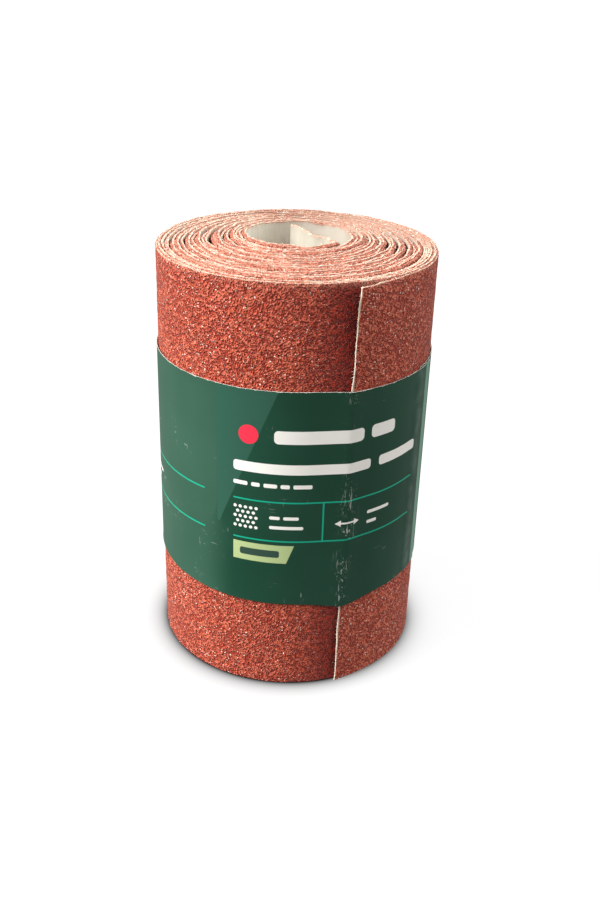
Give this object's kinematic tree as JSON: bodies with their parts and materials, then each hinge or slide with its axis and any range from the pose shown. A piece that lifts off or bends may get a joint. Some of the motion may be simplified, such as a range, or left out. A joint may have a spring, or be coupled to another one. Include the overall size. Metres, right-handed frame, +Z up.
{
  "type": "sandpaper roll",
  "caption": "Roll of coated abrasive paper wound grit side out, standing on its end and held shut by a printed paper band round its middle.",
  "frame": {"origin": "centre of the base, on the surface that the roll stands on", "axes": "+Z up along the roll; -Y is the front, with the label's print and the strip's outer cut end; +X is to the right seen from the front"},
  "size_m": [0.0604, 0.0601, 0.093],
  "materials": {
    "backing": "matt cream paper, with white torn fibres along its cut edges",
    "grit": "coarse red-brown grit bonded in red resin, with small sparkling grain faces",
    "printed_paper": "dark green print under a thin gloss varnish, lightly scuffed",
    "glue": "dried clear adhesive film"
  },
  "bodies": {
    "roll": {"backing_paper": "backing", "abrasive_coat": "grit"},
    "band": {"label_band": "printed_paper", "label_glue": "glue"}
  },
  "joints": [
    {"name": "band_slide", "type": "slide", "parent": "roll", "child": "band", "axis": [0, 0, 1], "range_m": [-0.0204, 0.08]}
  ]
}
